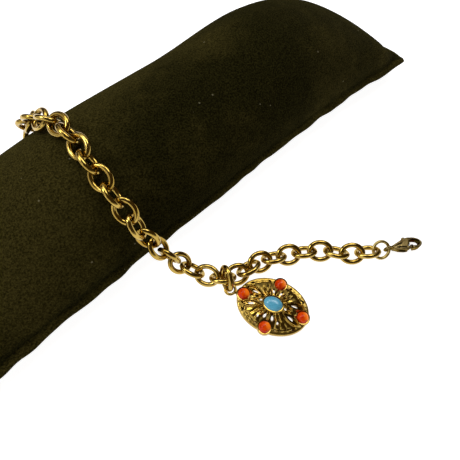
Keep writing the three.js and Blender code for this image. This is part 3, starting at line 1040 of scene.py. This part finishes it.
def bead_tree():
    """Sets small round beads along an oval line."""
    maker = Shaper("bead_row", Length="Float", Width="Float", Height="Float", Bead="Float", Count="Int")
    given = maker.given
    circle = maker.shape("CurvePrimitiveCircle", Resolution=128, Radius=0.5)
    stretch = maker.row(given["Length"], given["Width"], 1.0)
    lift = maker.row(z=given["Height"])
    oval = maker.shape("Transform", Geometry=circle, Scale=stretch, Translation=lift)
    points = maker.shape("CurveToPoints", {"mode": "COUNT"}, Curve=oval, Count=given["Count"])
    bead = maker.shape("MeshIcoSphere", Radius=given["Bead"] * 0.5, Subdivisions=2)
    bead = maker.shape("SetShadeSmooth", Geometry=bead)
    return maker.put_down(Points=points, Instance=bead)


def charm_matrix():
    """The charm's own axes: from the bail to its foot, across it, and out through its dome."""
    stones = {name: corners(name) for name in ROUND_PLACES}
    middle = {name: rows.mean(axis=0) for name, rows in stones.items()}
    along = unit(middle["orange_stone_2"] - middle["orange_stone_1"])
    across = middle["orange_stone_4"] - middle["orange_stone_3"]
    across = unit(across - along * np.dot(across, along))
    out = np.cross(along, across)
    back = min((rows @ out).min() for rows in stones.values())
    centre = (middle["orange_stone_1"] + middle["orange_stone_2"]) / 2
    centre = centre - out * (np.dot(centre, out) - back + ROUND_STONE["floor"] * MM)
    return matrix_of(centre, along, out)


def make_charm(gold, orange, blue):
    matrix = charm_matrix()
    places, faces, paint = shell_mesh()
    shell = tidy(painted(object_of("charm_shell", places, faces), paint))
    smooth(shell, 48)
    parts = [shell]
    for name, centre in ROUND_PLACES.items():
        parts.append(bezel("bezel_" + name, ROUND_STONE, ROUND_COLLAR, centre))
    parts.append(bezel("bezel_oval", OVAL_STONE, OVAL_COLLAR))
    parts.append(shaped(object_of("bezel_beads", [], []), BEAD_TREE, **BEAD_ROW, Finish=gold))
    bail_lie = (BAIL_AT, (1, 0, 0), (0, 0, 1))
    parts.append(wire_rings("bail_loop", [bail_lie], BAIL, gold, steps=56, sides=16, scale=1.0))
    parts.append(bail_strip())
    charm = wears(joined("pierced_charm", parts), gold)
    charm.data.transform(matrix)
    finished(charm, "gold", HELD, "charm")
    for name, centre in ROUND_PLACES.items():
        stone = cabochon("smooth_" + name, ROUND_STONE, matrix, centre)
        glowing(stone, matrix)
        finished(wears(stone, orange), "orange_stone", HELD, name)
    stone = cabochon("smooth_turquoise", OVAL_STONE, matrix)
    finished(wears(stone, blue), "turquoise", HELD, "turquoise")


def glowing(stone, matrix):
    """Paints a glow on the side of a clear stone where the window's light would gather after it has gone
    through.
    """
    rows = places_of(stone)
    out = np.array(matrix.to_3x3().normalized().col[2])
    rows = rows - rows.mean(axis=0)
    flat = rows - np.outer(rows @ out, out)
    way = unit(GLOW_WAY)
    share = flat @ way / (ROUND_STONE["half_length"] * MM)
    aside = np.abs(flat @ np.cross(out, way)) / MM
    painted(stone, {"glow": ramp(share, -0.15, 0.85) * (1 - ramp(aside, 0.7, 1.9))})


def bail_strip():
    """The short strap that joins the loop to the rim, waisted in the middle."""
    around, places, faces = 20, [], []
    for x, half, thick in STRAP:
        for k in range(around):
            turn = k / around * 2 * math.pi
            y = half * math.copysign(abs(math.cos(turn)) ** STRAP_ROUNDNESS, math.cos(turn))
            z = thick * math.copysign(abs(math.sin(turn)) ** STRAP_ROUNDNESS, math.sin(turn))
            places.append((x, y, BAIL_AT[2] + z))
    for section in range(len(STRAP) - 1):
        faces += ring_faces(section * around, (section + 1) * around, around)
    faces.append(tuple(range(around)))
    faces.append(tuple(range(len(places) - around, len(places))))
    return smooth(tidy(object_of("bail_strip", places, faces)), 50)


# ------------------------ clasp and its lever

CLASP_HEADING = (0.835, -0.545, -0.06)  # from its eye to its hook
PIN = (5.9, 0.35)  # the pin's place, along the clasp and across it
FINE_CLAY = 0.1  # size of the cells that the cast pieces are made smooth from
EYE_END = 1.5  # how far along the clasp its eye ring reaches
OPENING = {"middle": (9.9, 0.5), "half": (2.1, 1.2)}  # the space inside the hook
HOOK_STEP = 3.0  # degrees between the places where the hook's outline is measured
HOOK_ROUNDNESS = 22.0  # degrees that its outline is evened over
EYE_RING = {"length": 3.6, "width": 3.6, "wire": 0.86}
# The parting lines down the clasp's palm, each by its two ends.
CREASES = [((1.9, 0.35), (5.4, 0.95)), ((2.3, -0.35), (6.9, -0.95))]
CREASE_DEPTH = 0.16
CREASE_WIDTH = 0.24
TAPER = {"hook": 0.14, "eye": 0.3, "from": 1.6}  # how much thinner its ends are, and where that starts
# How often each cast piece is smoothed, and how far it is filled out after that.
CASTING = {"clasp": (45, 0.1), "clasp_lever": (10, 0.03)}
# Where the shadow in the lever's slot fades: across its width, towards its mouth and towards both its ends.
SLOT_SHADOW = {"width": (0.55, 0.75), "mouth": (-2.2, -1.0), "start": (3.0, 3.8), "end": (7.6, 8.4)}


def clasp_matrix():
    """The clasp's own axes: from its eye to its hook, across it, and along its pin."""
    joint = frame["joints"][0]
    matrix = matrix_of(joint["pos_m"], CLASP_HEADING, joint["axis"])
    return matrix @ Matrix.Translation((-PIN[0], -PIN[1], 0.0))


def cast(name, node, matrix):
    """A cast piece: the node's solid with every edge rounded over, then filled out by what that wore away."""
    softness, fill_out = CASTING[node]
    piece = solid_of(node, name, 0.001)
    piece.data.transform(matrix.inverted())
    cells = piece.modifiers.new("cells", "REMESH")
    cells.mode = "VOXEL"
    cells.voxel_size = FINE_CLAY
    softened(piece, softness)
    put_places(piece, places_of(piece) + normals_of(piece) * fill_out)
    return piece


def eye_ring(matrix):
    """The clasp's eye as a true round ring, where the plain solid has it."""
    places = corners("clasp") / MM
    inward = np.array(matrix.inverted().to_3x3()) * MM
    own = places @ inward.T + np.array(matrix.inverted().translation)
    eye = own[own[:, 0] < EYE_END]
    middle = (eye.max(axis=0) + eye.min(axis=0)) / 2
    _, along, facing = lie_of(eye)
    return wire_rings("clasp_eye", [(middle, along, facing)], EYE_RING, None, steps=48, sides=16, scale=1.0)


def taper(piece):
    """Thins the clasp towards its hook and its eye, where it is thick and flat at its palm."""
    rows = places_of(piece)
    along = rows[:, 0]
    thin = 1 - TAPER["hook"] * ramp(along, 7.2, 10.5) - TAPER["eye"] * ramp(-along, -4.6, -2.0)
    rows[:, 2] = np.where(along < TAPER["from"], rows[:, 2], rows[:, 2] * thin)
    put_places(piece, rows)
    return piece


def round_hook(piece):
    """Bows the flat sides of the hook's outline out to one round curve, and leaves its opening as it is."""
    rows = places_of(piece)
    out = rows[:, :2] - OPENING["middle"]
    reach = np.linalg.norm(out, axis=1)
    turn = np.degrees(np.arctan2(out[:, 1], out[:, 0]))
    turns = np.arange(-180, 180, HOOK_STEP)
    step = ((turn + 180) // HOOK_STEP).astype(int) % len(turns)
    edge = np.zeros(len(turns))
    np.maximum.at(edge, step, reach)
    apart = (turns[:, None] - turns + 180) % 360 - 180
    weight = bell(apart, HOOK_ROUNDNESS)
    even = weight @ edge / weight.sum(axis=1)
    place = turn - HOOK_STEP / 2
    now = np.interp(place, turns, edge, period=360)
    then = np.interp(place, turns, even, period=360)
    hole = np.linalg.norm(out / OPENING["half"], axis=1)
    outer = ramp(hole, 1.15, 1.6) * (1 - ramp(np.abs(turn), 85.0, 110.0))
    rows[:, :2] += out * (outer * (then / now - 1))[:, None]
    put_places(piece, rows)
    return softened(piece, 8)


def crease_share(rows):
    """1 on a parting line, and 0 away from it."""
    share = np.zeros(len(rows))
    for start, end in CREASES:
        run = np.subtract(end, start)
        along = np.clip((rows[:, :2] - start) @ run / (run @ run), 0.0, 1.0)
        gap = np.linalg.norm(rows[:, :2] - start - along[:, None] * run, axis=1)
        share = np.maximum(share, bell(gap, CREASE_WIDTH) * within(along, 0.2))
    return share


def in_hollows(piece):
    """Cuts the clasp's parting lines, and marks what lies in shadow on it as dark and its palm as satin."""
    rows = places_of(piece)
    normals = normals_of(piece)
    crease = crease_share(rows) * ramp(np.abs(normals[:, 2]), 0.4, 0.8)
    put_places(piece, rows - normals * CREASE_DEPTH * crease[:, None])
    towards = OPENING["middle"] - rows[:, :2]
    near = np.linalg.norm(towards / OPENING["half"], axis=1)
    facing = (normals[:, :2] * towards).sum(1)
    opening = (1 - ramp(near, 1.1, 1.4)) * ramp(facing, 0.0, 0.5)
    slot = (1 - ramp(np.abs(rows[:, 2]), *SLOT_SHADOW["width"])) * ramp(-rows[:, 1], *SLOT_SHADOW["mouth"])
    slot = slot * ramp(rows[:, 0], *SLOT_SHADOW["start"]) * (1 - ramp(rows[:, 0], *SLOT_SHADOW["end"]))
    palm = ramp(normals[:, 2], 0.6, 0.9)
    return painted(piece, {"hollow": np.clip(opening + slot + crease, 0, 1), "satin": palm})


def make_clasp(gold):
    matrix = clasp_matrix()
    body = in_hollows(taper(round_hook(cast("clasp_body", "clasp", matrix))))
    body = joined("lobster_clasp", [body, eye_ring(matrix)])
    lever = cast("thumb_lever", "clasp_lever", matrix)
    for piece, home, node in ((body, HELD, "clasp"), (lever, LEVER, "clasp_lever")):
        piece.data.transform(matrix)
        smooth(wears(piece, gold))
        finished(piece, "clasp_gold", home, node)


# ------------------------ stage


FLOOR_HALF = 1.5  # metres
FLOOR_DROP = 0.0001  # metres under the cushion, so that the two never lie in one plane
ROOM_GLOW = (0.06, 0.042, 0.022, 1.0)  # the dim warm room that the metal reflects between the panels
# Each panel's place and size in metres, and how bright it looks.
LIGHTS = {
    "softbox": ((0.40, 0.41, 0.93), (1.4, 1.2), 0.55),
    "right_panel": ((0.42, 0.06, 0.79), (0.36, 0.30), 5.5),
    "back_panel": ((0.10, 0.38, 0.81), (0.36, 0.30), 4.5),
    "side_panel": ((-0.80, 0.50, 0.62), (1.2, 1.1), 0.65),
    "left_card": ((-0.85, -0.12, 0.22), (0.8, 0.32), 1.1),
    "lamp": ((-0.36, 0.32, 0.56), (0.18, 0.18), 14.0),
    "front_card": ((-0.35, -0.70, 0.12), (1.3, 0.22), 0.3),
}


def make_floor(finish):
    places = [(x * FLOOR_HALF, y * FLOOR_HALF, 0) for x, y in ((-1, -1), (1, -1), (1, 1), (-1, 1))]
    floor = object_of("floor", places, [(0, 1, 2, 3)])
    floor.location.z = -FLOOR_DROP
    wears(floor, finish)


def add_light(name, place, size, watts):
    """A soft panel that faces the origin."""
    lamp = bpy.data.lights.new(name, "AREA")
    lamp.shape = "RECTANGLE"
    lamp.size, lamp.size_y = size
    lamp.energy = watts
    held = new_object(name, lamp)
    held.location = Vector(place)
    held.rotation_euler = (-Vector(place)).to_track_quat("-Z", "Y").to_euler()


def make_lights():
    for name, (place, size, radiance) in LIGHTS.items():
        add_light(name, place, size, radiance * math.pi * size[0] * size[1])
    world = bpy.data.worlds.new("studio")
    world.use_nodes = True
    world.node_tree.nodes["Background"].inputs["Color"].default_value = ROOM_GLOW
    bpy.context.scene.world = world


def make_camera():
    lens = bpy.data.cameras.new("camera")
    lens.lens = CAMERA_LENS
    lens.sensor_width = CAMERA_SENSOR
    lens.clip_start = 0.005
    held = new_object("camera", lens)
    held.location = Vector(CAMERA_AT) * MM
    ahead = (Vector(CAMERA_TOWARDS) - Vector(CAMERA_AT)) * MM
    held.rotation_euler = ahead.to_track_quat("-Z", "Y").to_euler()
    bpy.context.scene.camera = held


# ------------------------ the whole

RING_TREE = ring_tree()
BEAD_TREE = bead_tree()
chain_gold = polished_gold()
clasp_gold = dull_gold("clasp_gold", GREEN_GOLD, OLD_GOLD, 0.13, 0.25)
ring_gold = dull_gold("thin_ring_gold", PALE_GOLD, BRIGHT_GOLD, 0.30, 0.42)

make_camera()
make_lights()
make_floor(pale_floor())

link_lies = [lie_of(corners(node)) for node in LINK_NODES]
chain = wire_rings("oval_chain", link_lies, LINK, chain_gold)
finished(chain, "gold", HELD, *LINK_NODES)
hanger = wire_rings("hanging_link", [lie_of(corners("charm_link"))], LINK, chain_gold)
finished(hanger, "gold", HELD, "charm_link")
thin_ring = wire_rings("thin_jump_ring", [lie_of(corners("jump_ring"))], JUMP_RING, ring_gold)
finished(thin_ring, "clasp_gold", HELD, "jump_ring")

make_cushion(link_lies, dark_velvet())
make_charm(charm_gold(), orange_glass(), turquoise_stone())
make_clasp(clasp_gold)

bpy.context.scene.view_settings.view_transform = "Standard"
